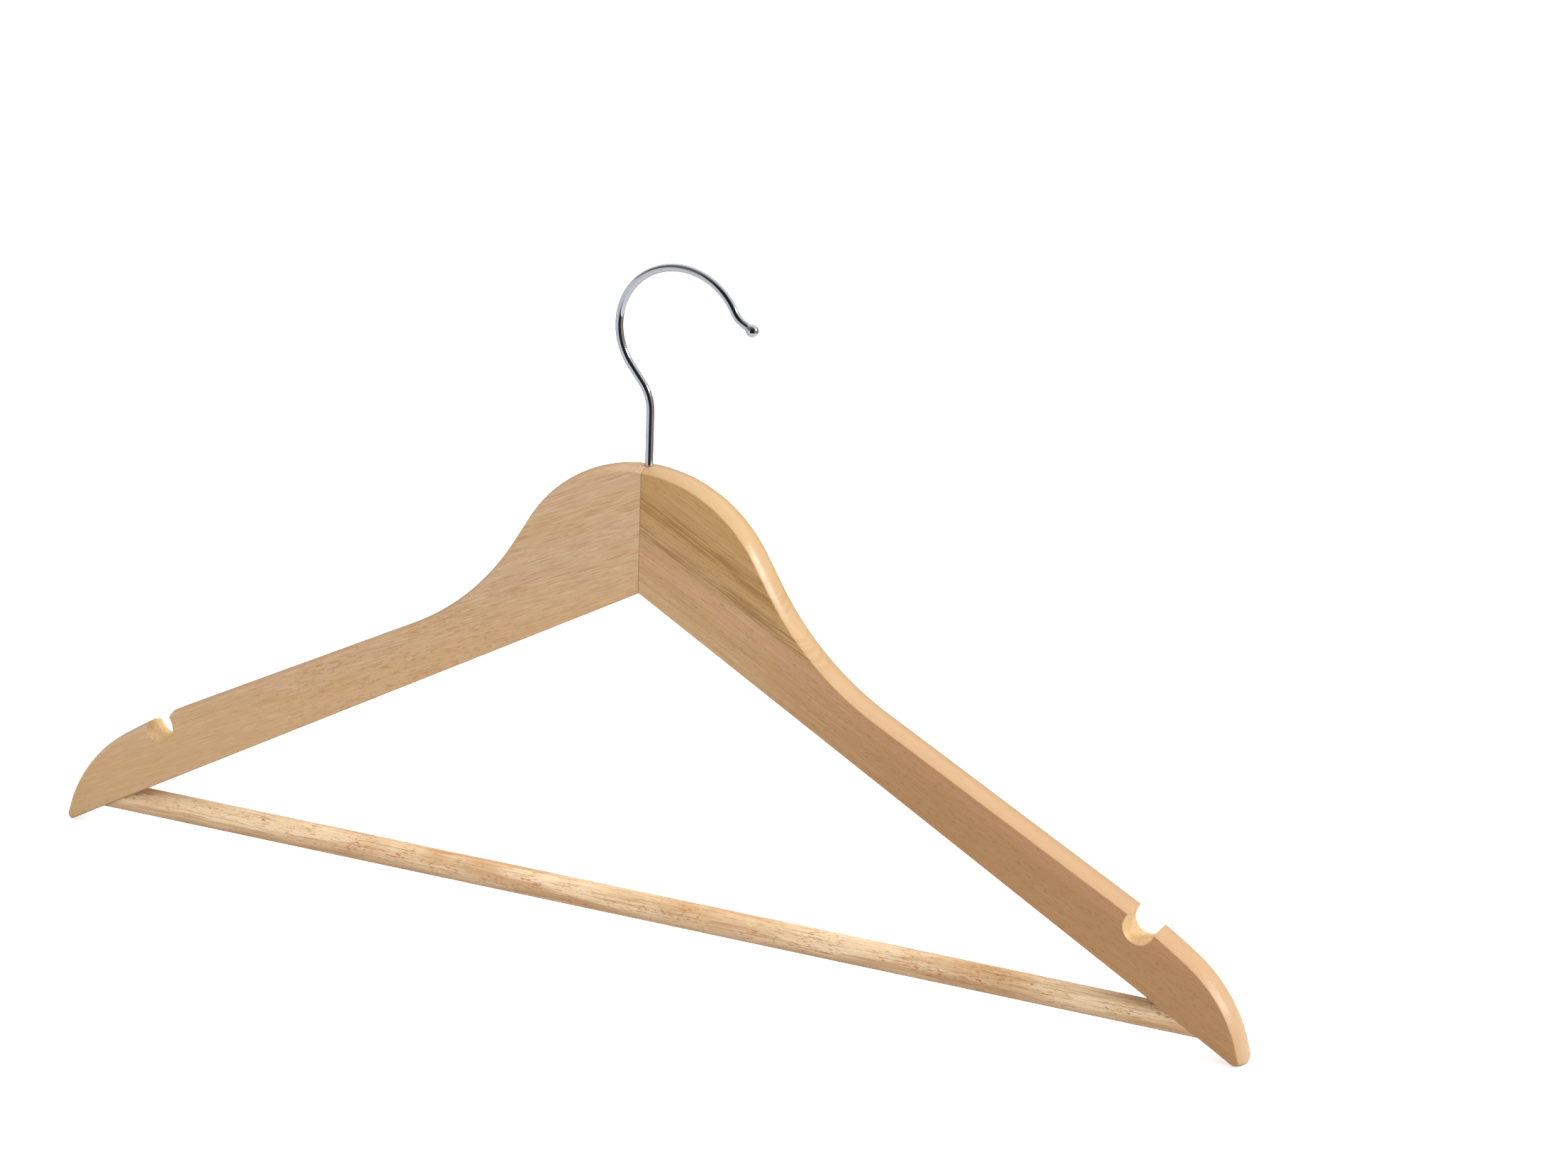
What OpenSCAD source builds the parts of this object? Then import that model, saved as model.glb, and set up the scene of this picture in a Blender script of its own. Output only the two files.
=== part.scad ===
// Wooden clothes hanger with a trouser bar, strap notches and a swivelling wire hook.
// Millimetres. +X is along the arms to the right, +Y is away from the front face, +Z is up.
// The origin is on the hook's swivel axis, halfway through the wood, level with the arm tips.

/* [Arms] */
// Thickness of the wood
thick = 11.5; // [11:0.5:14]
// Height of the neck above the crotch
neck_h = 43.5; // [41:0.5:46]
// Slope of the straight lower edge of each arm, in degrees
under_slope = 29.25; // [28.5:0.05:29.5]
// How far the crowned top and outer edges fall away from their middle to each face
crown_drop = 1.4; // [0.8:0.1:2]
// Radius of the pointed tip
tip_r = 1.5; // [0.8:0.1:2]
// Radius of the arc over the neck
neck_r = 50; // [49:0.5:51]
// Angle that the neck arc turns through, in degrees
neck_turn = 59; // [57:0.5:61]
// Straight run from the neck into the hollow
fall_len = 12; // [10:0.5:14]
// Radius of the hollow between neck and shoulder
hollow_r = 100; // [90:1:105]
// Slope of the straight shoulder, in degrees
shoulder_slope = 27.6; // [27:0.1:28]
// Length of the straight shoulder
shoulder_len = 98.5; // [96:0.5:101]
// Radius where the shoulder starts to turn down
outer_r = 250; // [200:10:300]
// Slope where the turn gets tighter, in degrees
outer_slope = 35; // [33:0.5:37]
// Radius of the tighter turn down to the tip
end_r = 50; // [46:1:54]
// Slope of the short straight at the tip, in degrees
end_slope = 76; // [74:0.5:78]

/* [Strap notches] */
// Radius of the round bottom of a notch
notch_r = 5.4; // [4:0.1:6]
// Depth of a notch below the shoulder
notch_depth = 8.6; // [6.5:0.1:9.5]
// Distance of a notch from the middle
notch_x = 186.8; // [184:0.2:189]

/* [Trouser bar] */
// Diameter of the bar
bar_d = 9.5; // [8:0.1:10]
// Depth of the bar's middle below the crotch
bar_drop = 113.6; // [112.5:0.1:114.5]
// Distance from the middle to each end of the bar
bar_half = 212; // [211.6:0.1:213]

/* [Hook] */
// Diameter of the wire
wire_d = 2.7; // [2.4:0.1:3]
// Diameter of the formed ball
ball_d = 4.2; // [3.6:0.1:5]
// Height of the straight stem above the crotch
stem_h = 62.3; // [58:0.1:66]
// Radius of the bend above the stem
lean_r = 15.2; // [12:0.1:18]
// Lean of the wire to the left, in degrees
lean = 38.5; // [34:0.5:42]
// Length of the straight, leaning wire
lean_len = 6.6; // [3:0.1:10]
// Radius of the crown that goes over the rail
crown_r = 22.3; // [20:0.1:24]
// Angle that the crown turns through, in degrees
crown_turn = 191; // [185:1:195]
// Radius of the outward flare before the ball
flare_r = 8; // [6:0.5:12]
// Angle that the flare turns back through, in degrees
flare_turn = 33; // [25:1:40]
// Length of the straight wire that ends in the ball
tail_len = 4; // [3:0.1:6]

/* [Swivel] */
// Gap all round the wire in its bore
run_gap = 0.05; // [0.02:0.01:0.1]
// Diameter of the recess under the neck
recess_d = 8; // [7.6:0.1:8.6]
// Height of the recess above the crotch
recess_h = 9; // [8.5:0.1:10]
// Diameter of the washer
washer_d = 7; // [6.4:0.1:7.4]
// Thickness of the washer
washer_t = 0.8; // [0.5:0.1:1]
// Width of the nut across its flats
nut_flats = 5; // [4.5:0.1:5.5]
// Height of the nut
nut_h = 2.2; // [1.8:0.1:2.4]
// Diameter of the thread on the end of the wire
thread_d = 2.3; // [2:0.1:2.4]

/* [Hidden fixings] */
// Diameter of a dowel across the neck joint
dowel_d = 6; // [5:0.1:6.4]
// Length of a dowel
dowel_len = 24; // [18:1:28]
// Height of the lower dowel above the crotch
dowel_low = 19; // [16:0.5:21]
// Distance between the two dowels
dowel_gap = 13; // [9:0.5:14]
// Diameter of a bar brad
brad_d = 1.2; // [1:0.1:1.4]
// Length of a bar brad under its head
brad_len = 8; // [6:0.5:8.5]
// Diameter of a brad's head
brad_head_d = 2.2; // [1.8:0.1:2.6]
// Thickness of a brad's head
brad_head_t = 0.5; // [0.3:0.1:0.6]
// Distance of the brads from the middle
brad_x = 206.5; // [205.5:0.5:208]
// Height of the brads above the bar's middle
brad_up = 1; // [0.5:0.1:1.5]

/* [Hidden] */
$fn = 96;

// Largest turn of one flat facet along an outline, in degrees
facet_turn = 4;
// Number of flat facets across half of the crowned edge
edge_facets = 4;
// The top of the right arm, from the middle of the neck to the tip. Each leg is
// [radius, turn] for an arc, where a negative turn is to the right, or [length, 0].
legs = [
    [neck_r, -neck_turn],
    [fall_len, 0],
    [hollow_r, neck_turn - shoulder_slope],
    [shoulder_len, 0],
    [outer_r, shoulder_slope - outer_slope],
    [end_r, outer_slope - end_slope],
];

// Radius of the crowned edge, and the angle that it turns through on each side
edge_r = (pow(thick / 2, 2) + pow(crown_drop, 2)) / (2 * crown_drop);
edge_turn = asin(thick / 2 / edge_r);

wire_r = wire_d / 2;
// The hook's centre line, from the top of the stem to the ball, as legs
hook_start = [[0, stem_h], 90];
hook_legs = [
    [lean_r, lean],
    [lean_len, 0],
    [crown_r, -crown_turn],
    [0, 0],
    [flare_r, flare_turn],
    [tail_len, 0],
];
// A straight leg runs this far into the arcs at its ends
lap = 0.2;
// and is this much thicker than they are, so that no two surfaces coincide
lap_step = 0.01;
bar_r = bar_d / 2;
// How far the stem is peened out under the nut
peen_h = 0.6;
nut_top = recess_h - washer_t - run_gap;
nut_bottom = nut_top - nut_h;

// Unit vector at an angle
function dir(a) = [cos(a), sin(a)];

// Unit vector to the left of a heading
function left(a) = dir(a + 90);

// Centre of an arc that leaves [point, heading] and turns left or right
function arc_centre(s, leg) = s[0] + sign(leg[1]) * leg[0] * left(s[1]);

// [point, heading] after one leg that starts at s
function after(s, leg) =
    leg[1] == 0 ? [s[0] + leg[0] * dir(s[1]), s[1]]
    : [arc_centre(s, leg) - sign(leg[1]) * leg[0] * left(s[1] + leg[1]), s[1] + leg[1]];

// [point, heading] at the start of leg number i
function start(path, s, i) = i == 0 ? s : after(start(path, s, i - 1), path[i - 1]);

neck_start = [[0, neck_h], 0];

// Points along the top of the arm, at a depth below its crest
function top_points(depth) =
    [for (i = [0 : len(legs) - 1])
        let (s = start(legs, neck_start, i), leg = legs[i],
             n = max(1, ceil(abs(leg[1]) / facet_turn)))
        for (k = [0 : n - 1])
            let (p = k == 0 ? s : after(s, [leg[0], leg[1] * k / n]))
                p[0] - depth * left(p[1])];

// Half of the angle between the lower edge and the straight at the tip
tip_half = (end_slope - under_slope) / 2;
// Where the straight at the tip, at a depth below its crest, meets the lower edge
function tip_corner(depth) =
    let (s = start(legs, neck_start, len(legs)),
         p = s[0] - depth * left(s[1]), up = left(-under_slope))
    p - (p * up) / (dir(s[1]) * up) * dir(s[1]);
// Centre of the tip's rounding, on the line that halves that angle
function tip_centre(depth) =
    tip_corner(depth) + tip_r / sin(tip_half) * dir(180 - under_slope - tip_half);
// Height of the crotch above the lowest point of the tips
rise = tip_r - tip_centre(0)[1];

// Points round the tip, from its straight to the lower edge
function tip_points(depth) =
    let (sweep = 180 - 2 * tip_half, n = 8)
    [for (k = [0 : n]) tip_centre(depth) + tip_r * dir(90 - end_slope - sweep * k / n)];

// The whole outline at a depth below the crest, from the crotch and over the top
function outline(depth) = concat([[0, 0]], top_points(depth), tip_points(depth));

// Point on the line of the straight shoulder at the distance x from the middle
shoulder_start = start(legs, neck_start, 3)[0];
function on_shoulder(x) =
    [x, shoulder_start[1] - (x - shoulder_start[0]) * tan(shoulder_slope)];
notch_centre = on_shoulder(notch_x) - (notch_depth - notch_r) * left(-shoulder_slope);

// Everything below is drawn flat in the arm's own plane, as x and height above the
// crotch, with the thickness along z. This stands it up and lifts it to the origin.
module stand() { translate([0, 0, rise]) rotate([90, 0, 0]) children(); }

// Layers from the back face to the front face: [height in the thickness, depth]
layers = [for (k = [-edge_facets : edge_facets])
    let (a = -edge_turn * k / edge_facets) [edge_r * sin(a), edge_r * (1 - cos(a))]];

// The arm's wood, as outlines stacked through its thickness
module arm_wood() {
    n = len(outline(0));
    points = [for (l = layers) for (p = outline(l[1])) [p[0], p[1], l[0]]];
    last = (len(layers) - 1) * n;
    sides = [for (i = [0 : len(layers) - 2], k = [0 : n - 1])
        let (m = (k + 1) % n) [i * n + k, i * n + m, (i + 1) * n + m, (i + 1) * n + k]];
    // Both end faces start at the crotch, which sees every other point of the outline
    back = [for (k = [n : -1 : 1]) k % n];
    front = [for (k = [0 : n - 1]) last + k];
    polyhedron(points, concat([back], sides, [front]));
}

// A strap notch through the shoulder
module notch_cut() {
    translate(notch_centre) rotate(-shoulder_slope) {
        cylinder(h = 2 * thick, r = notch_r, center = true);
        translate([-notch_r, 0, -thick]) cube([2 * notch_r, notch_depth, 2 * thick]);
    }
}

// A cylinder along X, centred on the middle of the hanger at a height above the crotch
module across(len, r, z) {
    translate([0, 0, rise + z]) rotate([0, 90, 0]) cylinder(h = len, r = r, center = true);
}

// The bore for the stem and the recess for the washer and nut
module stem_bore() {
    translate([0, 0, rise + recess_h - 1]) cylinder(h = neck_h, r = wire_r + run_gap);
    translate([0, 0, rise - recess_h]) cylinder(h = 2 * recess_h, d = recess_d);
}

// Two dowels, or the holes for them
module dowels() {
    for (k = [0, 1]) across(dowel_len, dowel_d / 2, dowel_low + k * dowel_gap);
}

// The bar at its full length, or the blind sockets for it
module bar_stock() { across(2 * bar_half, bar_r, -bar_drop); }

// Two brads driven in from the back, or the holes for them, which run on past its face
module brads(past = 0) {
    for (s = [-1, 1])
        translate([s * brad_x, thick / 2, rise - bar_drop + brad_up]) rotate([90, 0, 0]) {
            translate([0, 0, -past]) cylinder(h = brad_head_t + past, d = brad_head_d);
            cylinder(h = brad_head_t + brad_len, d = brad_d);
        }
}

module right_arm() {
    color("burlywood") difference() {
        stand() difference() {
            arm_wood();
            notch_cut();
        }
        stem_bore();
        dowels();
        bar_stock();
        brads(past = 1);
    }
}

module left_arm() { color("wheat") mirror([1, 0, 0]) right_arm(); }

module trouser_bar() {
    color("bisque") difference() {
        bar_stock();
        brads();
    }
}

module neck_dowels() {
    color("tan") difference() {
        dowels();
        stem_bore();
    }
}

module bar_brads() { color("silver") brads(); }

// The wire along one leg of the hook's centre line
module wire_leg(s, leg) {
    if (leg[1] == 0)
        translate(s[0]) rotate(s[1]) rotate([0, 90, 0]) translate([0, 0, -lap])
            cylinder(h = leg[0] + 2 * lap, r = wire_r + lap_step);
    else
        translate(arc_centre(s, leg))
            rotate(s[1] + (leg[1] < 0 ? 90 + leg[1] : -90))
                rotate_extrude(angle = abs(leg[1])) translate([leg[0], 0]) circle(wire_r);
}

// The lower end of the wire: plain stem, thread through the nut, and peened tip
module stem() {
    translate([0, 0, nut_top]) cylinder(h = stem_h - nut_top, r = wire_r);
    translate([0, 0, nut_bottom]) cylinder(h = nut_h, d = thread_d);
    translate([0, 0, nut_bottom - peen_h]) cylinder(h = peen_h, d1 = thread_d, d2 = wire_d);
}

module hook() {
    color("gainsboro") {
        translate([0, 0, rise]) stem();
        stand() {
            for (i = [0 : len(hook_legs) - 1])
                wire_leg(start(hook_legs, hook_start, i), hook_legs[i]);
            translate(start(hook_legs, hook_start, len(hook_legs))[0]) sphere(d = ball_d);
        }
    }
}

module hook_washer() {
    color("silver") translate([0, 0, rise + recess_h - washer_t]) difference() {
        cylinder(h = washer_t, d = washer_d);
        translate([0, 0, -washer_t]) cylinder(h = 3 * washer_t, r = wire_r + run_gap);
    }
}

// A hexagonal nut with its corners turned off on both faces
module hook_nut() {
    flat_r = nut_flats / 2;
    corner_r = flat_r / cos(30);
    turned = corner_r - flat_r;
    color("darkgray") translate([0, 0, rise + nut_bottom]) difference() {
        intersection() {
            cylinder(h = nut_h, r = corner_r, $fn = 6);
            rotate_extrude() polygon([[0, 0], [flat_r, 0], [corner_r, turned],
                [corner_r, nut_h - turned], [flat_r, nut_h], [0, nut_h]]);
        }
        translate([0, 0, -nut_h]) cylinder(h = 3 * nut_h, d = thread_d);
    }
}

left_arm();
right_arm();
trouser_bar();
neck_dowels();
bar_brads();
hook();
hook_washer();
hook_nut();
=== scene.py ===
"""A wooden clothes hanger on a pale studio floor: two lacquered arms, a round trouser bar
and a chrome wire hook that turns in the neck. Blender works in metres; the shape
numbers below are in millimetres, measured from the crotch under the neck."""
import math

import bmesh
import bpy
from mathutils import Matrix, Vector


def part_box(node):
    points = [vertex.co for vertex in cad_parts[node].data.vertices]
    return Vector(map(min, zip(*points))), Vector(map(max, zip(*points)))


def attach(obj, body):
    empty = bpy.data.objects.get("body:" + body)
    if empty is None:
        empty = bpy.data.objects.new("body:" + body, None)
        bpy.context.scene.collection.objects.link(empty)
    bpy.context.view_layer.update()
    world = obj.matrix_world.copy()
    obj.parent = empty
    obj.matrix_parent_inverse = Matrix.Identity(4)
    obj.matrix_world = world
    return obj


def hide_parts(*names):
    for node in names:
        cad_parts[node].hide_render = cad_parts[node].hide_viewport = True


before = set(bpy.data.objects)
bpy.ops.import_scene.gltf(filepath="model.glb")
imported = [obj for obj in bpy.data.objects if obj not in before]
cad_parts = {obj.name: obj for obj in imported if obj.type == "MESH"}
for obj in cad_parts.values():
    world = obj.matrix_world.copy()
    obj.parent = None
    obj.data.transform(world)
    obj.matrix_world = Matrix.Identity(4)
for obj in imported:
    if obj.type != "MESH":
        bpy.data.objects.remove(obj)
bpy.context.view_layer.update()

MM = 0.001

# ---------------------------------------------------------------- shape of the arms
# Height of the neck, and the slope of the lower edge in degrees
NECK_H = 43.5
UNDER_SLOPE = 29.25
# How far the crowned top edge (the crest) falls away from its middle to each face
CROWN_DROP = 1.4
# Small roundings along the crest's corners and along the lower edge's
EDGE_EASE = 0.35
EASE_R = 0.6
# The tip: its rounding, and how much of the crest's end the rounding takes away
TIP_R = 1.5
TIP_LAP = 3.8
# The crest from the neck to the tip: (radius, turn in degrees) or (length, 0)
LEGS = ((50.0, -59.0), (12.0, 0.0), (100.0, 31.4), (98.5, 0.0), (250.0, -7.4), (50.0, -41.0))
# The straight leg that holds the notch, and the crest's slopes on it and at the tip
SHOULDER_LEG = 3
SHOULDER_SLOPE = 27.6
END_SLOPE = 76.0
# The strap notch: round bottom, depth, place along the arm and rounding of its rim
NOTCH_R = 5.4
NOTCH_DEPTH = 8.6
NOTCH_X = 186.8
NOTCH_EASE = 0.35
# Width of the strip that keeps the flat faces flat beside the rounded corners
FACE_INSET = 0.8

# ---------------------------------------------------------------- bar, hook and fixings
# Half the bar's length, and how far its middle line lies below the crotch
BAR_HALF = 212.0
BAR_DROP = 113.6
# The wire, the ball on its end, the straight stem and the legs of its bends
WIRE_R = 1.35
BALL_R = 2.1
STEM_H = 62.3
HOOK_LEGS = ((15.2, 38.5), (6.6, 0.0), (22.3, -191.0), (8.0, 33.0), (4.0, 0.0))
THREAD_R = 1.15
# The recess under the neck, and the dowels and brads
RECESS_R = 4.0
RECESS_H = 9.0
DOWEL_R = 3.0
BRAD_HOLE_R = 0.62
BRAD_HEAD_T = 0.5
# Room round a piece in its hole: a tight fit, the wire, and the bar in its socket
TIGHT = 0.02
WIRE_ROOM = 0.05
BAR_ROOM = 0.1

left_low, left_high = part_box("left_arm")
bar_low, bar_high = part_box("trouser_bar")
THICK = (left_high.y - left_low.y) / MM
RISE = left_high.z / MM - NECK_H
BAR_R = (bar_high.z - bar_low.z) / MM / 2
# Radius across the crowned crest
EDGE_R = ((THICK / 2) ** 2 + CROWN_DROP ** 2) / (2 * CROWN_DROP)


def unit(angle):
    """Unit vector at an angle in degrees."""
    return Vector((math.cos(math.radians(angle)), math.sin(math.radians(angle))))


def left_of(angle):
    """Unit vector to the left of a heading."""
    return unit(angle + 90)


def walk(point, heading, leg, share=1.0):
    """Point and heading after a share of one leg."""
    size, turn = leg
    if turn == 0:
        return point + unit(heading) * size * share, heading
    side = math.copysign(1, turn)
    centre = point + left_of(heading) * side * size
    heading = heading + turn * share
    return centre - left_of(heading) * side * size, heading


def leg_starts(point, heading, legs):
    """Point and heading where each leg starts, and where the last one ends."""
    starts = [(point, heading)]
    for leg in legs:
        starts.append(walk(*starts[-1], leg))
    return starts


def leg_length(leg):
    """Length along one leg."""
    size, turn = leg
    return size if turn == 0 else size * math.radians(abs(turn))


STARTS = leg_starts(Vector((0, NECK_H)), 0.0, LEGS)
LENGTHS = [leg_length(leg) for leg in LEGS]
CREST_LENGTH = sum(LENGTHS)


def crest(distance, depth):
    """Point at a distance along the crest, moved inwards by a depth."""
    i = 0
    while i < len(LEGS) - 1 and distance > LENGTHS[i]:
        distance -= LENGTHS[i]
        i += 1
    point, heading = walk(*STARTS[i], LEGS[i], min(1.0, distance / LENGTHS[i]))
    return point - left_of(heading) * depth


def notch_centre():
    """Centre of the round bottom of the right arm's notch."""
    start = STARTS[SHOULDER_LEG][0]
    drop = (NOTCH_X - start.x) * math.tan(math.radians(SHOULDER_SLOPE))
    top = Vector((NOTCH_X, start.y - drop))
    return top - left_of(-SHOULDER_SLOPE) * (NOTCH_DEPTH - NOTCH_R)


NOTCH_C = notch_centre()


def notch_local(point):
    """A point across and up from the notch's centre, square to the shoulder."""
    offset = point - NOTCH_C
    return offset.dot(unit(-SHOULDER_SLOPE)), offset.dot(left_of(-SHOULDER_SLOPE))


def in_notch(point, radius):
    """True inside the notch: a slot above its centre and half a circle below."""
    across, up = notch_local(point)
    if up > 0:
        return abs(across) < radius
    return across * across + up * up < radius * radius


def lip(outside, inside, depth, radius):
    """Distance along the crest where it crosses the notch's wall."""
    for _ in range(40):
        middle = (outside + inside) / 2
        if in_notch(crest(middle, depth), radius):
            inside = middle
        else:
            outside = middle
    return outside


def notch_wall(first, last, radius):
    """Points down one wall of the notch, round its bottom and up the other wall, between
    the two places where it meets the crest."""
    count = 44
    (u0, v0), (u1, v1) = notch_local(first), notch_local(last)
    begin = 180.0 if v0 >= 0 else 360 + math.degrees(math.atan2(v0, u0))
    end = 360.0 if v1 >= 0 else 360 + math.degrees(math.atan2(v1, u1))
    down, up = max(v0, 0.0), max(v1, 0.0)
    arc = math.radians(end - begin) * radius
    total = down + arc + up
    points = []
    for k in range(1, count):
        s = total * k / count
        if s < down:
            u, v = -radius, down - s
        elif s < down + arc:
            angle = math.radians(begin) + (s - down) / radius
            u, v = radius * math.cos(angle), radius * math.sin(angle)
        else:
            u, v = radius, s - down - arc
        points.append(NOTCH_C + unit(-SHOULDER_SLOPE) * u + left_of(-SHOULDER_SLOPE) * v)
    return points


def crest_stations():
    """Distances along the crest that every layer shares, before and after the notch."""
    middle = sum(LENGTHS[:SHOULDER_LEG]) - notch_local(STARTS[SHOULDER_LEG][0])[0]
    longest, shortest, finest_turn = 4.0, 0.8, 1.1
    stations = []
    walked = 0.0
    for (size, turn), length in zip(LEGS, LENGTHS):
        step = max(shortest, size * math.radians(finest_turn)) if turn else longest
        count = max(1, round(length / min(step, longest)))
        stations += [walked + length * k / count for k in range(count)]
        walked += length
    gap = NOTCH_R + NOTCH_EASE + FACE_INSET + shortest
    before = [s for s in stations if s < middle - gap]
    after = [s for s in stations if middle + gap < s < CREST_LENGTH - TIP_LAP]
    return before, middle, after


def tip_points(depth, ease):
    """Points round the pointed tip, from the end of the crest to the lower edge, none of
    them lower than the CAD's tip."""
    count = 12
    half = (END_SLOPE - UNDER_SLOPE) / 2
    up = left_of(-UNDER_SLOPE)
    end, heading = STARTS[-1]
    end = end - left_of(heading) * depth
    along = unit(heading)
    corner = end - along * ((end.dot(up) - ease) / along.dot(up))
    centre = corner + unit(180 - UNDER_SLOPE - half) * TIP_R / math.sin(math.radians(half))
    sweep = 180 - 2 * half
    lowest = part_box("right_arm")[0].z / MM - RISE
    ring = [centre + unit(90 - END_SLOPE - sweep * k / count) * TIP_R
            for k in range(count + 1)]
    return [Vector((p.x, max(p.y, lowest))) for p in ring]


def eased(y, radius):
    """How far a rounding of a radius at each face has cut in at y."""
    past = max(0.0, abs(y) - (THICK / 2 - radius))
    return radius - math.sqrt(max(0.0, radius ** 2 - past ** 2))


def arm_ring(y, stations, inset=0.0):
    """One layer of the right arm at y, and which of its points lie on the notch's wall.
    An inset draws it in all round, for a ring of points on the flat face."""
    before, middle, after = stations
    depth = EDGE_R - math.sqrt(EDGE_R ** 2 - y ** 2) + eased(y, EDGE_EASE)
    ease = eased(y, EASE_R)
    radius = NOTCH_R + ease * NOTCH_EASE / EASE_R + inset
    depth += inset
    ease += inset
    first = crest(lip(before[-1], middle, depth, radius), depth)
    last = crest(lip(after[0], middle, depth, radius), depth)
    wall = notch_wall(first, last, radius)
    crotch = Vector((0, ease / math.cos(math.radians(UNDER_SLOPE))))
    ring = [crotch] + [crest(s, depth) for s in before] + [first]
    notch_from = len(ring) - 1
    ring += wall + [last]
    notch_to = len(ring) - 1
    ring += [crest(s, depth) for s in after]
    tip = tip_points(depth, ease)
    ring += tip
    under_steps = 30
    ring += [tip[-1].lerp(crotch, k / under_steps) for k in range(1, under_steps)]
    return ring, notch_from, notch_to


def layer_heights():
    """Places through the thickness, closest together where the edges are round."""
    even_steps = 8
    heights = {THICK / 2 * k / even_steps for k in range(1, even_steps)}
    for radius in (EASE_R, EDGE_EASE):
        flat = THICK / 2 - radius
        rises = [radius * math.sin(math.radians(angle)) for angle in range(0, 91, 15)]
        heights |= {round(flat + rise, 4) for rise in rises}
    heights = sorted(heights)
    return [-h for h in reversed(heights)] + [0.0] + heights


def new_object(name, bm):
    """A linked object made from a bmesh whose numbers are in metres."""
    bmesh.ops.recalc_face_normals(bm, faces=bm.faces)
    mesh = bpy.data.meshes.new(name)
    bm.to_mesh(mesh)
    bm.free()
    obj = bpy.data.objects.new(name, mesh)
    bpy.context.scene.collection.objects.link(obj)
    return obj


def arm_object(name, side):
    """The wood of one arm before anything is drilled. side is 1 for right, -1 for left.
    The notch's wall gets the second material."""
    bm = bmesh.new()
    stations = crest_stations()
    rows = []
    heights = [(y, 0.0) for y in layer_heights()]
    heights = [(-THICK / 2, FACE_INSET)] + heights + [(THICK / 2, FACE_INSET)]
    for y, inset in heights:
        ring, notch_from, notch_to = arm_ring(y, stations, inset)
        rows.append([bm.verts.new((side * p.x * MM, y * MM, (p.y + RISE) * MM)) for p in ring])
    count = len(rows[0])
    for low, high in zip(rows, rows[1:]):
        for k in range(count):
            m = (k + 1) % count
            face = bm.faces.new((low[k], low[m], high[m], high[k]))
            inner = low is rows[0] or high is rows[-1]
            face.material_index = 1 if notch_from <= k < notch_to and not inner else 0
    bm.faces.new(rows[0])
    bm.faces.new(rows[-1])
    return new_object(name, bm)


def add_lathe(bm, profile, place, count=48):
    """A closed turned shape in bm: profile holds (height, radius) along local z."""
    rows = []
    for height, radius in profile:
        spots = [unit(360 * k / count) * radius for k in range(count)]
        rows.append([bm.verts.new(place @ Vector((p.x, p.y, height))) for p in spots])
    for low, high in zip(rows, rows[1:]):
        for k in range(count):
            m = (k + 1) % count
            bm.faces.new((low[k], low[m], high[m], high[k]))
    bm.faces.new(rows[0])
    bm.faces.new(rows[-1])


UPRIGHT = Matrix.Identity(4)
ALONG_X = Matrix.Rotation(math.radians(90), 4, "Y")
TO_THE_BACK = Matrix.Rotation(math.radians(-90), 4, "X")


def place_mm(x, y, z, turn=UPRIGHT):
    """Matrix that scales millimetres to metres, turns, and puts the origin at a place."""
    return Matrix.Translation(Vector((x, y, z)) * MM) @ turn @ Matrix.Scale(MM, 4)


def rod(bm, place, length, radius, count=48):
    """A plain solid rod for cutting with, centred on its place."""
    add_lathe(bm, [(-length / 2, radius), (length / 2, radius)], place, count)


def arm_cutter():
    """The wire's hole with a bevel round its mouth, the recess under the neck and the
    bar's sockets."""
    bm = bmesh.new()
    hole = WIRE_R + WIRE_ROOM
    bevel = 0.35
    mouth = WIRE_R + bevel
    # How far the cuts run past the wood, and down from the top of the neck to the recess
    over, clear, below, deep = 0.05, 4, 10, 30
    profile = [(-deep, hole), (-bevel, hole), (over, mouth), (clear, mouth)]
    add_lathe(bm, profile, place_mm(0, 0, RISE + NECK_H))
    add_lathe(bm, [(-below, RECESS_R), (RECESS_H, RECESS_R)], place_mm(0, 0, RISE), 64)
    end_room = 0.2
    rod(bm, place_mm(0, 0, RISE - BAR_DROP, ALONG_X), 2 * (BAR_HALF + end_room),
        BAR_R + BAR_ROOM, 96)
    return new_object("arm_cutter", bm)


def dowel_cutter():
    """The dowel holes across the neck joint."""
    bm = bmesh.new()
    low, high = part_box("neck_dowels")
    end_room = 0.1
    length = (high.x - low.x) / MM + 2 * end_room
    for z in (low.z / MM + DOWEL_R, high.z / MM - DOWEL_R):
        rod(bm, place_mm(0, 0, z, ALONG_X), length, DOWEL_R + TIGHT)
    return new_object("dowel_cutter", bm)


def brad_cutter():
    """The holes that the two brads are driven into from the back, through arm and bar,
    with a wider part for the head."""
    bm = bmesh.new()
    low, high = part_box("bar_brads")
    head_r = (high.z - low.z) / MM / 2
    x = high.x / MM - head_r
    z = (low.z + high.z) / 2 / MM
    length = (high.y - low.y) / MM
    head_from = length - BRAD_HEAD_T
    end_room = 0.05
    clear = 1
    profile = [(-end_room, BRAD_HOLE_R), (head_from, BRAD_HOLE_R),
               (head_from, head_r + TIGHT), (length + clear, head_r + TIGHT)]
    for side in (-1, 1):
        add_lathe(bm, profile, place_mm(side * x, low.y / MM, z, TO_THE_BACK), 32)
    return new_object("brad_cutter", bm)


def cut(obj, cutters):
    """Takes each cutter out of obj's mesh."""
    for cutter in cutters:
        modifier = obj.modifiers.new("cut", "BOOLEAN")
        modifier.operation = "DIFFERENCE"
        modifier.solver = "EXACT"
        modifier.object = cutter
    graph = bpy.context.evaluated_depsgraph_get()
    mesh = bpy.data.meshes.new_from_object(obj.evaluated_get(graph))
    obj.modifiers.clear()
    old = obj.data
    obj.data = mesh
    bpy.data.meshes.remove(old)


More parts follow.
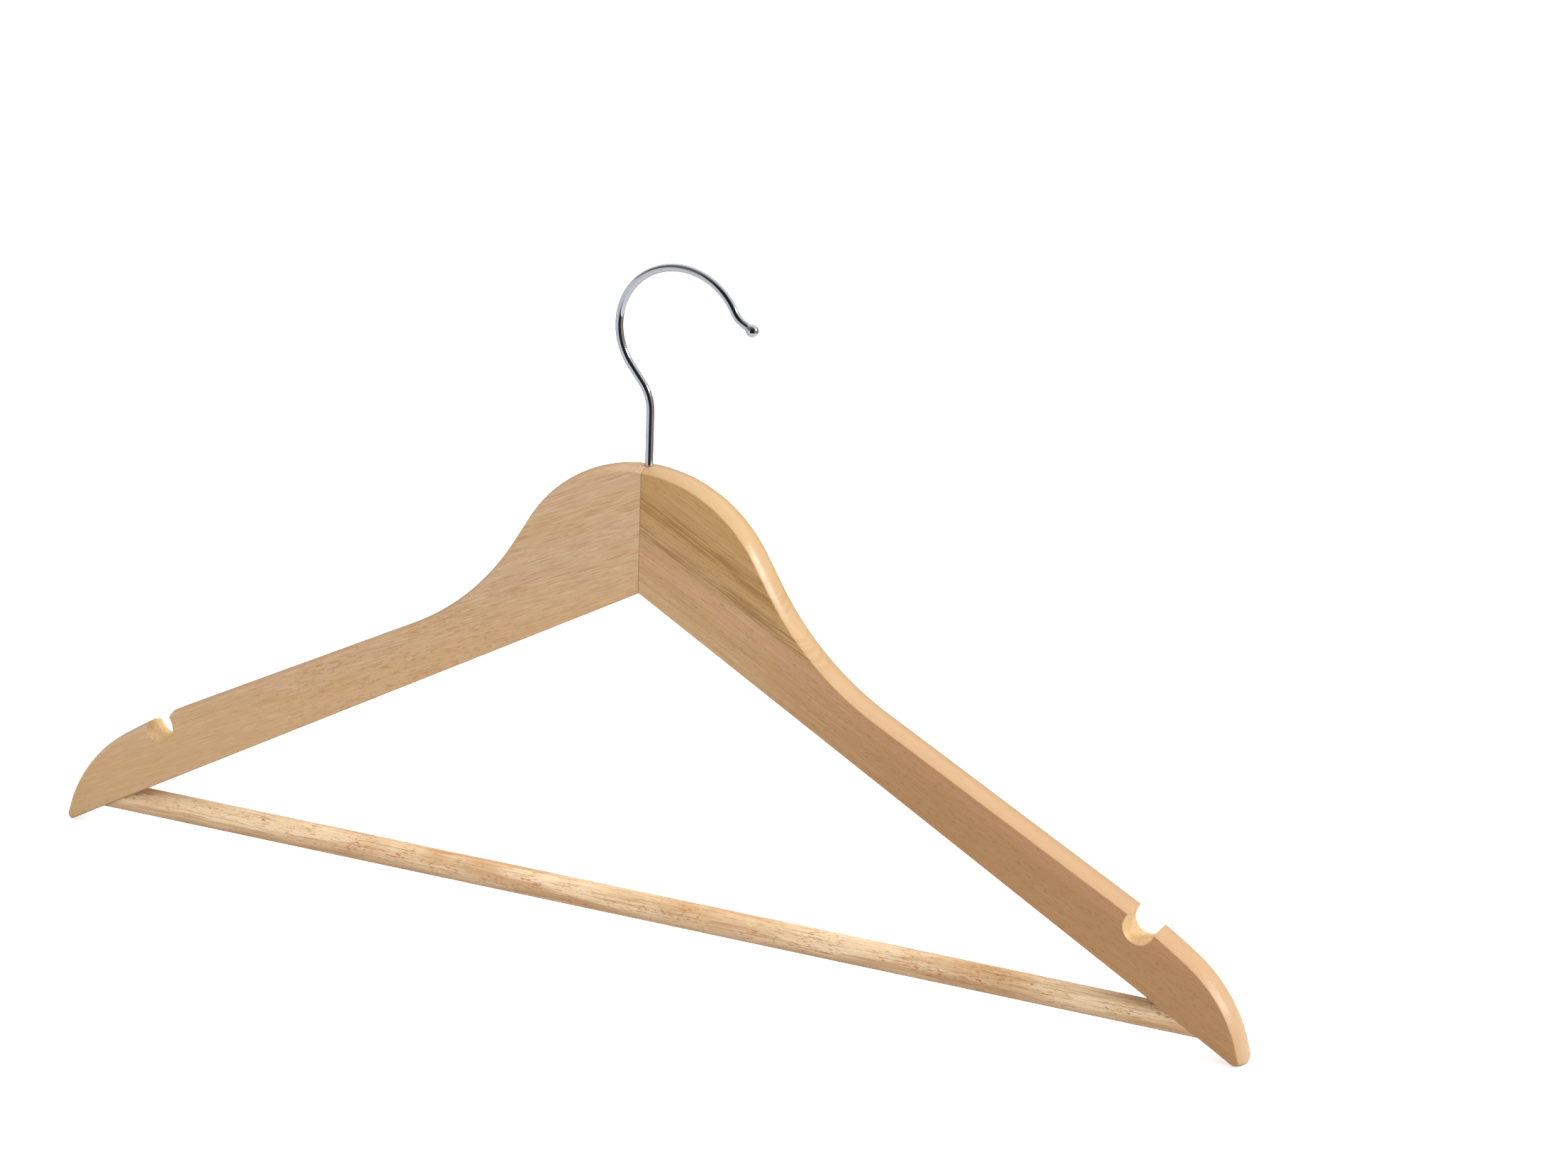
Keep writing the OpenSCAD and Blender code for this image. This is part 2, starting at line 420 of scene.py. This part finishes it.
def smooth(obj, angle):
    """Smooth shading, with a crease wherever two faces meet at more than an angle."""
    obj.data.shade_smooth()
    obj.data.set_sharp_from_angle(angle=math.radians(angle))


def bar_object():
    """The turned bar, with eased ends and a surface that is very slightly uneven."""
    bm = bmesh.new()
    ease = 0.5
    uneven = 0.025
    count = 60
    profile = [(-BAR_HALF, BAR_R - ease), (-BAR_HALF + ease, BAR_R)]
    for k in range(1, count):
        x = -BAR_HALF + ease + (2 * BAR_HALF - 2 * ease) * k / count
        wander = 0.5 + 0.5 * math.sin(x * 0.11) * math.sin(x * 0.043 + 1.7)
        profile.append((x, BAR_R - uneven * wander))
    profile += [(BAR_HALF - ease, BAR_R), (BAR_HALF, BAR_R - ease)]
    add_lathe(bm, profile, place_mm(0, 0, RISE - BAR_DROP, ALONG_X), 96)
    return new_object("trouser_bar_wood", bm)


def hook_path():
    """The wire's centre line as (point, heading, radius), from its lower end to the ball.
    Inside the nut it is thinner, for the thread."""
    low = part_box("hook")[0].z / MM - RISE
    nut_low, nut_high = (corner.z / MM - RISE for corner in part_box("hook_nut"))
    up = 90.0
    shoulder = 0.01
    path = [(Vector((0, low)), up, WIRE_R), (Vector((0, nut_low)), up, THREAD_R),
            (Vector((0, nut_high)), up, THREAD_R),
            (Vector((0, nut_high + shoulder)), up, WIRE_R)]
    stem_steps = 24
    for k in range(1, stem_steps + 1):
        height = nut_high + (STEM_H - nut_high) * k / stem_steps
        path.append((Vector((0, height)), up, WIRE_R))
    point, heading = path[-1][0], up
    straight_steps = 6
    for leg in HOOK_LEGS:
        turn = leg[1]
        count = max(2, round(abs(turn))) if turn else straight_steps
        for k in range(1, count + 1):
            path.append((*walk(point, heading, leg, k / count), WIRE_R))
        point, heading = walk(point, heading, leg)
    return with_ball(path, point, heading)


def with_ball(path, centre, heading):
    """Swaps the end of the path for stations that swell smoothly into the ball. Wire and
    ball are blended by a high power, so that each keeps its own shape away from the joint."""
    reach = 3.6
    power = 5.0
    wire_steps = 9
    kept = [station for station in path if (station[0] - centre).length > reach]
    # Places along the wire's end, counted from the ball's centre: first the wire, up to
    # just inside the ball, and then the ball
    to_ball = reach - BALL_R * 0.98
    places = [-reach + to_ball * k / wire_steps for k in range(wire_steps)]
    places += [-BALL_R * math.cos(math.radians(angle)) for angle in range(12, 180, 7)]
    for t in places:
        ball = math.sqrt(max(0.0, BALL_R ** 2 - t ** 2))
        wire = WIRE_R if t < 0 else 0.0
        radius = (wire ** power + ball ** power) ** (1 / power)
        kept.append((centre + unit(heading) * t, heading, radius))
    kept.append((centre + unit(heading) * BALL_R, heading, 0.0))
    return kept


def hook_object():
    """The wire: rings swept along its centre line."""
    bm = bmesh.new()
    count = 48
    rows = []
    for point, heading, radius in hook_path():
        side = left_of(heading)
        if radius == 0:
            rows.append([bm.verts.new((point.x * MM, 0, (point.y + RISE) * MM))])
            continue
        row = []
        for k in range(count):
            angle = math.tau * k / count
            flat = point + side * radius * math.cos(angle)
            row.append(bm.verts.new((flat.x * MM, radius * math.sin(angle) * MM,
                                     (flat.y + RISE) * MM)))
        rows.append(row)
    for low, high in zip(rows, rows[1:]):
        for k in range(count):
            m = (k + 1) % count
            if len(high) == 1:
                bm.faces.new((low[k], low[m], high[0]))
            else:
                bm.faces.new((low[k], low[m], high[m], high[k]))
    bm.faces.new(rows[0])
    return new_object("hook_wire", bm)


# ---------------------------------------------------------------- shader helpers
# Outputs of the texture coordinate, geometry and light path nodes, by number
VIEW_COORDS = 0
OBJECT_COORDS = 3
NORMAL = 1
INCOMING = 4
CAMERA_RAY = 0
GLOSSY_RAY = 3


class Graph:
    """Adds shader nodes to one material or world and joins them up."""

    def __init__(self, tree):
        self.tree = tree

    def add(self, kind, inputs=None, out=0, **settings):
        """A new node; returns one of its outputs."""
        node = self.tree.nodes.new("ShaderNode" + kind)
        for key, value in settings.items():
            setattr(node, key, value)
        for key, value in (inputs or {}).items():
            if isinstance(value, bpy.types.NodeSocket):
                self.tree.links.new(value, node.inputs[key])
            else:
                node.inputs[key].default_value = value
        return node.outputs[out]

    def split(self, vector):
        """The x, y and z of a vector."""
        node = self.tree.nodes.new("ShaderNodeSeparateXYZ")
        self.tree.links.new(vector, node.inputs[0])
        return node.outputs

    def place(self):
        """The place on the object, in metres."""
        return self.add("TexCoord", out=OBJECT_COORDS)

    def calc(self, operation, a, b=0.0):
        """One sum on numbers."""
        return self.add("Math", {0: a, 1: b}, operation=operation)

    def ramp(self, value, low, high, to_low=0.0, to_high=1.0):
        """Smooth step from to_low to to_high as value goes from low to high."""
        return self.add("MapRange", {0: value, 1: low, 2: high, 3: to_low, 4: to_high},
                        interpolation_type="SMOOTHSTEP")

    def mix(self, share, a, b):
        """The second colour laid over the first one by a share."""
        return self.add("Mix", {0: share, 6: a, 7: b}, out=2, data_type="RGBA",
                        clamp_factor=True)

    def point(self, x, y, z):
        """A vector from three numbers."""
        return self.add("CombineXYZ", {0: x, 1: y, 2: z})

    def noise(self, vector, scale, detail=2.0, rough=0.5):
        """Noise from 0 to 1."""
        return self.add("TexNoise", {"Vector": vector, "Scale": scale, "Detail": detail,
                                     "Roughness": rough})


def rgb(red, green, blue):
    """A colour given as it looks on screen, as linear light."""
    def linear(v):
        v /= 255
        return v / 12.92 if v <= 0.04045 else ((v + 0.055) / 1.055) ** 2.4
    return (linear(red), linear(green), linear(blue), 1.0)


def new_material(name):
    """An empty node material and its graph."""
    material = bpy.data.materials.new(name)
    material.use_nodes = True
    material.node_tree.nodes.clear()
    return material, Graph(material.node_tree)


def finish_material(g, shader):
    """Joins a shader to the material's output."""
    node = g.tree.nodes.new("ShaderNodeOutputMaterial")
    g.tree.links.new(shader, node.inputs[0])


def grain_space(g, slope, wander, height=RISE):
    """Along, through and across the grain, in metres from a point at a height on the
    swivel axis. The grain slopes by an angle in degrees, and wanders across by two amounts
    in millimetres, a slow one and a fine one."""
    origin = unit(90 - slope) * -height * MM
    turned = g.add("Mapping", {"Vector": g.place(), "Location": (origin.x, 0, origin.y),
                               "Rotation": (0, math.radians(slope), 0)})
    along, through, across = g.split(turned)
    slow_draw, slow_scale = 0.35, 26
    fine_draw, fine_scale = 0.6, 150
    slow = g.noise(g.point(g.calc("MULTIPLY", along, slow_draw), through, across), slow_scale, 1.0)
    fine = g.noise(g.point(g.calc("MULTIPLY", along, fine_draw), through, across), fine_scale)
    slow = g.calc("MULTIPLY", g.calc("SUBTRACT", slow, 0.5), wander[0] * MM)
    fine = g.calc("MULTIPLY", g.calc("SUBTRACT", fine, 0.5), wander[1] * MM)
    across = g.calc("ADD", across, g.calc("ADD", slow, fine))
    return along, through, across


def rings(g, through, across, pith):
    """Distance from the middle of the tree, the pith, whose place is in millimetres. The
    grain lines follow it, so they curve round the edges."""
    y = g.calc("SUBTRACT", through, pith[0] * MM)
    z = g.calc("SUBTRACT", across, pith[1] * MM)
    return g.calc("SQRT", g.calc("ADD", g.calc("MULTIPLY", y, y), g.calc("MULTIPLY", z, z)))


def streaks(g, along, ring, length, width, seed, detail=3.0, through=0.0):
    """Noise drawn out along the grain. Length and width are in millimetres, and the seed
    picks a pattern."""
    x = g.calc("MULTIPLY", along, 1 / (length * MM))
    z = g.calc("MULTIPLY", ring, 1 / (width * MM))
    y = g.calc("MULTIPLY", through, 1 / (width * MM)) if through else 0.0
    return g.noise(g.point(g.calc("ADD", x, seed), y, g.calc("ADD", z, seed * 1.7)), 1.0,
                   detail, 0.55)


def lacquer(g, colour, height, gloss, coat=0.7, grain_bump=0.3):
    """Clear lacquer over wood: a soft body under a thin shiny film with a fine ripple.
    gloss is the film's roughness, and coat is how much of it there is."""
    ripple = g.noise(g.place(), 1100, 2.0, 0.6)
    body = g.add("Bump", {"Strength": grain_bump, "Distance": 0.0002, "Height": height})
    film = g.add("Bump", {"Strength": 0.3, "Distance": 0.0002, "Height": ripple,
                          "Normal": body})
    return g.add("BsdfPrincipled", {
        "Base Color": colour, "Roughness": 0.6, "Normal": body, "Specular IOR Level": 0.25,
        "Coat Weight": coat, "Coat Roughness": gloss, "Coat IOR": 1.5, "Coat Normal": film})


def seam(g, colour):
    """Darkens the wood in the glue line between the two arms."""
    off_joint = g.calc("ABSOLUTE", g.split(g.place())[0])
    near = g.ramp(off_joint, 0.08 * MM, 0.26 * MM, 0.5, 0.0)
    return g.mix(near, colour, rgb(112, 74, 40))


def band(g, value, centre, half, soft):
    """1 where a value lies within half of a centre, fading to 0 over a soft border."""
    off = g.calc("ABSOLUTE", g.calc("SUBTRACT", value, centre))
    return g.ramp(off, half, half + soft, 1.0, 0.0)


def tint(g, colour, share, strength, red, green, blue):
    """Lays a colour over another where share is high, at most at the given strength."""
    return g.mix(g.calc("MULTIPLY", share, strength), colour, rgb(red, green, blue))


def on_face(g):
    """1 on the flat faces and less on the crest, where the wood is sanded smooth and gets a
    painted highlight. The normal's share towards the front tells them apart."""
    normal_y = g.split(g.add("NewGeometry", out=NORMAL))[1]
    return g.ramp(g.calc("ABSOLUTE", normal_y), 0.45, 0.9, 0.3, 1.0)


def painted_under_shade(g, colour):
    """Darkens the eased lower edges where they face down: painted shade."""
    normal_z = g.split(g.add("NewGeometry", out=NORMAL))[2]
    return tint(g, colour, g.ramp(normal_z, -0.15, -0.6), 0.6, 128, 96, 50)


def left_wood():
    """Pinkish beige wood with short wavy flecks, yellower along the lower edge and calmer
    towards the tip."""
    material, g = new_material("left_arm_wood")
    along, through, across = grain_space(g, 25.5, (3.2, 1.1))
    ring = rings(g, through, across, (95, -190))
    # Distance out along the arm in millimetres
    out = g.calc("MULTIPLY", along, -1 / MM)
    # Broad bands of tone, some of them pinker
    tone = streaks(g, along, ring, 70, 8, 3.1)
    colour = g.mix(g.ramp(tone, 0.36, 0.64), rgb(187, 154, 119), rgb(184, 150, 109))
    pink = streaks(g, along, ring, 40, 3.5, 8.3, 2.0)
    colour = tint(g, colour, g.ramp(pink, 0.52, 0.7), 0.35, 190, 148, 120)
    # Fine grain lines, light and dark
    lines = streaks(g, along, ring, 11, 0.45, 5.7, 3.0, through)
    calm = g.ramp(out, 100, 200, 1.0, 0.5)
    dark_line = g.calc("MULTIPLY", g.ramp(lines, 0.52, 0.7), calm)
    colour = tint(g, colour, dark_line, 0.45, 154, 108, 60)
    colour = tint(g, colour, g.ramp(lines, 0.48, 0.32), 0.32, 212, 184, 150)
    # Yellower towards the lower edge
    low = g.ramp(across, -2 * MM, 12 * MM, 1.0, 0.0)
    colour = tint(g, colour, low, 0.4, 188, 148, 92)
    # Short open pores, thickest halfway along the arm
    pore = streaks(g, along, ring, 2.9, 0.5, 1.9, 2.0, through)
    patch = g.ramp(streaks(g, along, ring, 38, 9, 12.4), 0.34, 0.56, 0.3, 1.0)
    before, after = g.ramp(out, 30, 80, 0.45, 1.0), g.ramp(out, 110, 190, 1.0, 0.25)
    where = g.calc("MULTIPLY", patch, g.calc("MULTIPLY", before, after))
    pore = g.calc("MULTIPLY", g.ramp(pore, 0.54, 0.66), where)
    colour = tint(g, colour, pore, 0.52, 160, 106, 48)
    height = g.calc("SUBTRACT", lines, pore)
    finish_material(g, lacquer(g, seam(g, painted_under_shade(g, colour)), height, 0.2))
    return material


def right_wood():
    """Tan wood: dark olive streaks across the top of the neck, a pink band below them, and
    fine straight lines that fade towards the tip. The crest is smoother, and painted creamier as a
    highlight from the light above."""
    material, g = new_material("right_arm_wood")
    along, through, across = grain_space(g, -27.5, (1.3, 0.35))
    ring = rings(g, through, across, (60, -420))
    # Distances across the grain and out along the arm in millimetres
    up = g.calc("MULTIPLY", across, 1 / MM)
    out = g.calc("MULTIPLY", along, 1 / MM)
    # Broad bands of tone, browner away from the neck
    tone = streaks(g, along, ring, 90, 6, 2.2)
    colour = g.mix(g.ramp(tone, 0.36, 0.64), rgb(182, 148, 106), rgb(174, 137, 92))
    colour = tint(g, colour, g.ramp(out, 15, 120), 0.85, 158, 114, 66)
    # The neck: olive above, a pink flush below
    colour = tint(g, colour, g.ramp(up, 15, 27), 0.85, 170, 130, 72)
    colour = tint(g, colour, band(g, up, 13.5, 1.0, 3.5), 0.35, 182, 130, 98)
    # Fine grain lines, light and dark
    face = on_face(g)
    lines = streaks(g, along, ring, 34, 0.45, 4.4)
    calm = g.calc("MULTIPLY", face, g.ramp(out, 40, 120, 1.0, 0.3))
    dark_line = g.calc("MULTIPLY", g.ramp(lines, 0.52, 0.7), calm)
    light_line = g.calc("MULTIPLY", g.ramp(lines, 0.48, 0.32), calm)
    colour = tint(g, colour, dark_line, 0.45, 142, 98, 50)
    colour = tint(g, colour, light_line, 0.35, 202, 168, 130)
    # The crest: painted cream highlight from the light above, with darker flushes along it
    crest_share = g.calc("SUBTRACT", 1.0, face)
    colour = tint(g, colour, crest_share, 0.8, 176, 150, 116)
    flush = g.ramp(streaks(g, along, ring, 26, 1.8, 5.3, 2.0, through), 0.46, 0.66)
    colour = tint(g, colour, g.calc("MULTIPLY", flush, crest_share), 0.5, 178, 136, 92)
    # Dark streaks that start at the joint and run parallel to the arm
    dark = g.ramp(streaks(g, along, ring, 20, 0.7, 7.7), 0.38, 0.6)
    near = g.calc("MAXIMUM", band(g, up, 29.0, 1.2, 3.0), band(g, up, 20.5, 1.0, 2.6))
    near = g.calc("MULTIPLY", near, face)
    colour = tint(g, colour, g.calc("MULTIPLY", dark, near), 0.7, 128, 88, 32)
    # Short open pores
    pore = streaks(g, along, ring, 2.6, 0.3, 6.1, 1.5, through)
    pore = g.calc("MULTIPLY", g.ramp(pore, 0.6, 0.7), face)
    colour = tint(g, colour, pore, 0.5, 128, 84, 40)
    height = g.calc("SUBTRACT", lines, pore)
    finish_material(g, lacquer(g, seam(g, painted_under_shade(g, colour)), height, 0.14))
    return material


def bar_wood():
    """Cream wood with clusters of reddish flecks along the bar, and painted shade underneath."""
    material, g = new_material("trouser_bar_wood")
    along, through, across = grain_space(g, 0.0, (1.4, 0.5), RISE - BAR_DROP)
    ring = rings(g, through, across, (-30, 40))
    # Broad bands of tone, and fine grain lines, light and dark
    tone = streaks(g, along, ring, 55, 3.2, 1.3)
    colour = g.mix(g.ramp(tone, 0.38, 0.62), rgb(230, 204, 166), rgb(196, 158, 112))
    lines = streaks(g, along, ring, 20, 0.4, 9.1, 3.0, through)
    colour = tint(g, colour, g.ramp(lines, 0.5, 0.66), 0.5, 164, 110, 64)
    colour = tint(g, colour, g.ramp(lines, 0.46, 0.3), 0.45, 226, 198, 162)
    # Painted shade, from just above the middle of the bar to its underside
    colour = tint(g, colour, g.ramp(across, 1.5 * MM, -3 * MM), 0.5, 158, 122, 80)
    # Reddish flecks, in clusters
    fleck = streaks(g, along, ring, 2.2, 0.28, 3.3, 1.5, through)
    patch = g.ramp(streaks(g, along, ring, 16, 5, 5.2), 0.4, 0.6, 0.2, 1.0)
    fleck = g.calc("MULTIPLY", g.ramp(fleck, 0.54, 0.66), patch)
    colour = tint(g, colour, fleck, 0.82, 168, 86, 42)
    height = g.calc("SUBTRACT", lines, fleck)
    finish_material(g, lacquer(g, colour, height, 0.32))
    return material


def notch_wood():
    """The pale cut wood inside a notch, with open pores."""
    material, g = new_material("notch_wood")
    coords = g.place()
    pores = g.noise(coords, 1500, 3.0, 0.6)
    cloud = g.noise(coords, 220, 2.0)
    colour = g.mix(g.ramp(cloud, 0.35, 0.65), rgb(200, 168, 122), rgb(190, 156, 108))
    pore = g.ramp(pores, 0.56, 0.68)
    colour = tint(g, colour, pore, 0.5, 150, 108, 66)
    height = g.calc("SUBTRACT", 1.0, pore)
    finish_material(g, lacquer(g, colour, height, 0.45, 0.25, 0.6))
    return material


def dowel_wood():
    """Plain turned wood for the hidden dowels."""
    material, g = new_material("dowel_wood")
    along, through, across = grain_space(g, 0.0, (0.6, 0.2))
    lines = streaks(g, along, across, 12, 0.5, 2.7, 4.0, through)
    colour = g.mix(g.ramp(lines, 0.4, 0.66), rgb(206, 172, 128), rgb(170, 128, 84))
    finish_material(g, lacquer(g, colour, lines, 0.5, 0.0))
    return material


def chrome():
    """Bright plate with a faint haze and fine marks from drawing the wire."""
    material, g = new_material("hook_chrome")
    coords = g.place()
    haze = g.noise(coords, 400, 3.0, 0.6)
    marks = g.noise(coords, 2600, 2.0)
    rough = g.add("MapRange", {0: haze, 1: 0.3, 2: 0.7, 3: 0.06, 4: 0.1})
    colour = g.mix(haze, rgb(222, 224, 228), rgb(210, 213, 219))
    bump = g.add("Bump", {"Strength": 0.01, "Distance": 0.0001, "Height": marks})
    shader = g.add("BsdfPrincipled", {"Base Color": colour, "Metallic": 1.0,
                                      "Roughness": rough, "Normal": bump})
    finish_material(g, shader)
    return material


def plated_steel():
    """Dull zinc plate with a cloudy crystal pattern."""
    material, g = new_material("plated_steel")
    coords = g.place()
    cloud = g.noise(coords, 700, 3.0, 0.6)
    grit = g.noise(coords, 4000, 2.0)
    colour = g.mix(cloud, rgb(186, 188, 192), rgb(150, 152, 158))
    rough = g.add("MapRange", {0: cloud, 1: 0.3, 2: 0.7, 3: 0.28, 4: 0.5})
    bump = g.add("Bump", {"Strength": 0.15, "Distance": 0.0001, "Height": grit})
    shader = g.add("BsdfPrincipled", {"Base Color": colour, "Metallic": 1.0,
                                      "Roughness": rough, "Normal": bump})
    finish_material(g, shader)
    return material


# ---------------------------------------------------------------- the pieces
def build_pieces():
    """Makes the arms, the bar and the wire, gives each its material and puts it on its body."""
    wood_crease, wire_crease = 32, 50
    drilled = arm_cutter()
    doweled = dowel_cutter()
    bradded = brad_cutter()
    notch = notch_wood()
    for name, node, side, wood in (("left_arm_wood", "left_arm", -1, left_wood()),
                                   ("right_arm_wood", "right_arm", 1, right_wood())):
        arm = arm_object(name, side)
        arm.data.materials.append(wood)
        arm.data.materials.append(notch)
        cut(arm, (drilled, doweled, bradded))
        smooth(arm, wood_crease)
        dress(arm, node, "frame", node.split("_")[0] + "_wood")
    bar = bar_object()
    bar.data.materials.append(bar_wood())
    cut(bar, (bradded,))
    smooth(bar, wood_crease)
    dress(bar, "trouser_bar", "frame", "bar_wood")
    wire = hook_object()
    wire.data.materials.append(chrome())
    smooth(wire, wire_crease)
    dress(wire, "hook", "hook", "hook_chrome")
    for cutter in (drilled, doweled, bradded):
        bpy.data.objects.remove(cutter)


def dress(piece, node, body, slot):
    """Lets a piece stand for a CAD node and ride on its body."""
    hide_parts(node)
    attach(piece, body)


def dress_cad_nodes():
    """Better materials for the CAD nodes that are kept."""
    metal = plated_steel()
    for node, material in (("neck_dowels", dowel_wood()), ("bar_brads", metal),
                           ("hook_washer", metal), ("hook_nut", metal)):
        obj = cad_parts[node]
        obj.data.materials.clear()
        obj.data.materials.append(material)


# ---------------------------------------------------------------- the studio
def studio_floor():
    """A large white floor at the level of the arm tips. It glows a little for the camera
    only, so that it stays white behind the hanger, and is grey in reflections. Seen from
    below it is clear, so that the underside of the hanger shows."""
    bm = bmesh.new()
    bmesh.ops.create_circle(bm, cap_ends=True, segments=96, radius=14)
    floor = new_object("studio_floor", bm)
    material, g = new_material("studio_floor")
    cloud = g.noise(g.place(), 1.2, 2.0)
    white = g.mix(cloud, (0.88, 0.88, 0.88, 1), (0.92, 0.92, 0.92, 1))
    seen = g.add("LightPath", out=CAMERA_RAY)
    glossy = g.add("LightPath", out=GLOSSY_RAY)
    colour = g.mix(glossy, white, (0.45, 0.45, 0.46, 1))
    shader = g.add("BsdfPrincipled", {"Base Color": colour, "Roughness": 0.8,
                                      "Specular IOR Level": 0.0,
                                      "Emission Color": (1.0, 1.0, 1.0, 1.0),
                                      "Emission Strength": g.calc("MULTIPLY", seen, 0.6)})
    below = g.calc("LESS_THAN", g.split(g.add("NewGeometry", out=INCOMING))[2], 0.0)
    clear = g.add("BsdfTransparent")
    finish_material(g, g.add("MixShader", {0: below, 1: shader, 2: clear}))
    floor.data.materials.append(material)


def screen(name, first, last, dark, light, height):
    """A curved screen round the hanger that only shows in shiny surfaces. It runs between
    two azimuths in degrees, up to a height in metres, and glows between two greys."""
    bm = bmesh.new()
    distance = 0.42
    bottom = 0.001
    steps = 24
    rows = []
    for k in range(steps + 1):
        spot = unit(first + (last - first) * k / steps) * distance
        rows.append([bm.verts.new((spot.x, spot.y, z)) for z in (bottom, height)])
    for near, far in zip(rows, rows[1:]):
        bm.faces.new((near[0], far[0], far[1], near[1]))
    card = new_object(name, bm)
    material, g = new_material(name)
    colour = g.mix(g.noise(g.place(), 9.0), dark, light)
    finish_material(g, g.add("Emission", {"Color": colour, "Strength": 1.0}))
    card.data.materials.append(material)
    card.visible_camera = False
    card.visible_diffuse = False
    card.visible_shadow = False
    card.visible_transmission = False


def studio_screens():
    """What the chrome reflects: black on the camera's side, pale to the left of it, warm
    grey to its right and dark grey behind the hanger."""
    tall, short = 0.7, 0.33
    screen("black_screen", -95, -24, (0.01, 0.01, 0.011, 1), (0.03, 0.03, 0.032, 1), tall)
    screen("pale_screen", -200, -95, (0.56, 0.58, 0.62, 1), (0.76, 0.78, 0.82, 1), short)
    screen("warm_screen", -24, 60, (0.2, 0.16, 0.13, 1), (0.42, 0.38, 0.34, 1), short)
    screen("dark_screen", 60, 160, (0.05, 0.05, 0.055, 1), (0.16, 0.16, 0.17, 1), short)


def softbox(name, place, target, size, power, shines=True):
    """A rectangular soft light that looks at a target. Its place and size are in metres
    and its power in watts. It shows in shiny surfaces only if it shines."""
    light = bpy.data.lights.new(name, "AREA")
    light.shape = "RECTANGLE"
    light.size, light.size_y = size
    light.energy = power
    lamp = bpy.data.objects.new(name, light)
    lamp.visible_glossy = shines
    lamp.location = place
    direction = Vector(target) - Vector(place)
    lamp.rotation_euler = direction.to_track_quat("-Z", "Y").to_euler()
    bpy.context.scene.collection.objects.link(lamp)


def studio_light():
    """White surroundings, brightest behind the hanger, and soft lights overhead, in front
    and to the right."""
    world = bpy.data.worlds.new("studio")
    world.use_nodes = True
    world.node_tree.nodes.clear()
    g = Graph(world.node_tree)
    towards_back = g.split(g.add("TexCoord", out=VIEW_COORDS))[1]
    dim, bright = 0.15, 0.88
    strength = g.ramp(towards_back, -0.3, 0.5, dim, bright)
    shader = g.add("Background", {"Color": (1.0, 1.0, 1.0, 1), "Strength": strength})
    output = g.tree.nodes.new("ShaderNodeOutputWorld")
    g.tree.links.new(shader, output.inputs[0])
    bpy.context.scene.world = world
    softbox("overhead", (0.2, -0.1, 1.3), (0.1, 0, 0), (1.5, 1.0), 18, False)
    softbox("front", (-0.7, -1.5, 0.9), (0, 0, 0.1), (0.9, 0.9), 10.5, False)
    softbox("side", (1.5, 0.62, 0.72), (0.15, 0, 0.08), (0.6, 0.5), 28)


def studio_camera():
    """The viewing angle: from the right, a little above, through a long lens. The place is
    in metres, with its height counted from the crotch under the neck."""
    camera = bpy.data.cameras.new("camera")
    camera.sensor_width = 36
    camera.lens = 152.98
    camera.clip_end = 100
    obj = bpy.data.objects.new("camera", camera)
    right = Vector((0.8995, 0.4358, 0.0309)).normalized()
    forward = Vector((-0.4027, 0.8545, -0.3281)).normalized()
    up = right.cross(forward)
    turn = Matrix((right, up, -forward)).transposed().to_4x4()
    obj.matrix_world = Matrix.Translation((0.9374, -1.8809, 0.7317 + RISE * MM)) @ turn
    bpy.context.scene.collection.objects.link(obj)
    bpy.context.scene.camera = obj


build_pieces()
dress_cad_nodes()
studio_floor()
studio_screens()
studio_light()
studio_camera()
bpy.context.scene.view_settings.view_transform = "Standard"
